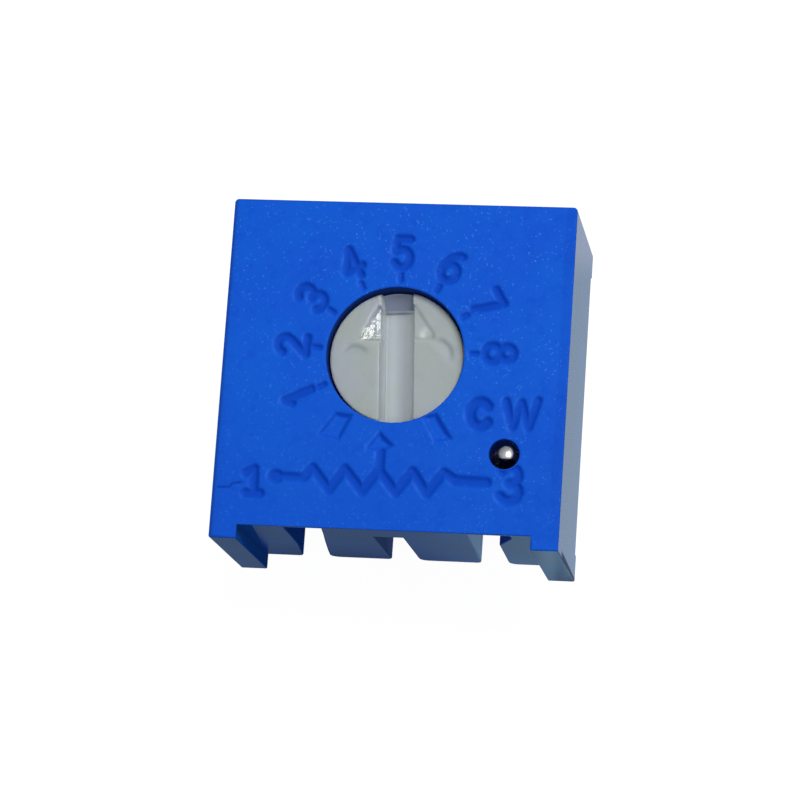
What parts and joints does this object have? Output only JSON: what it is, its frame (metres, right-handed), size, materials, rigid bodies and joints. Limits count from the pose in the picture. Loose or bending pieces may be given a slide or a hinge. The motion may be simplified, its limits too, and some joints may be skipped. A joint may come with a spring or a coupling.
{
  "type": "trimmer potentiometer",
  "caption": "Square board-mounted trimmer with a slotted white rotor in its front face, corner feet, pin grooves and wire terminals at the back.",
  "frame": {"origin": "on the rotor axis, in the plane of the circuit board that the rear standoffs sit on, where the middle terminal passes through", "axes": "+Z out of the front face along the rotor axis, +Y to the plain top edge, -Y to the edge with the feet and pin grooves, +X to the right seen from the front"},
  "size_m": [0.0096, 0.0095, 0.0081],
  "materials": {
    "blue_moulding": "satin moulded blue plastic with fine pits",
    "white_moulding": "soft gloss off-white moulded plastic",
    "seal_rubber": "black silicone rubber",
    "spring_alloy": "stamped gold-coloured spring alloy",
    "alumina": "fired white alumina",
    "cermet_film": "fired dark resistive glaze",
    "conductor_film": "fired silver conductor film",
    "tinned_wire": "tinned copper wire",
    "solder": "dull bright solder",
    "seal_resin": "cast blue epoxy resin"
  },
  "bodies": {
    "case": {"housing": "blue_moulding", "o_ring": "seal_rubber", "ceramic_substrate": "alumina", "resistive_track": "cermet_film", "collector_pad": "conductor_film", "end_pad_1": "conductor_film", "end_pad_3": "conductor_film", "terminal_1": "tinned_wire", "terminal_2": "tinned_wire", "terminal_3": "tinned_wire", "solder_joint_1": "solder", "solder_joint_2": "solder", "solder_joint_3": "solder", "epoxy_seal": "seal_resin"},
    "turning": {"rotor": "white_moulding", "wiper": "spring_alloy"}
  },
  "joints": [
    {"name": "rotor_turn", "type": "hinge", "parent": "case", "child": "turning", "pos_m": [0, 0, 0.004], "axis": [0, 0, 1], "range_deg": [-148.2, 141.8]}
  ]
}
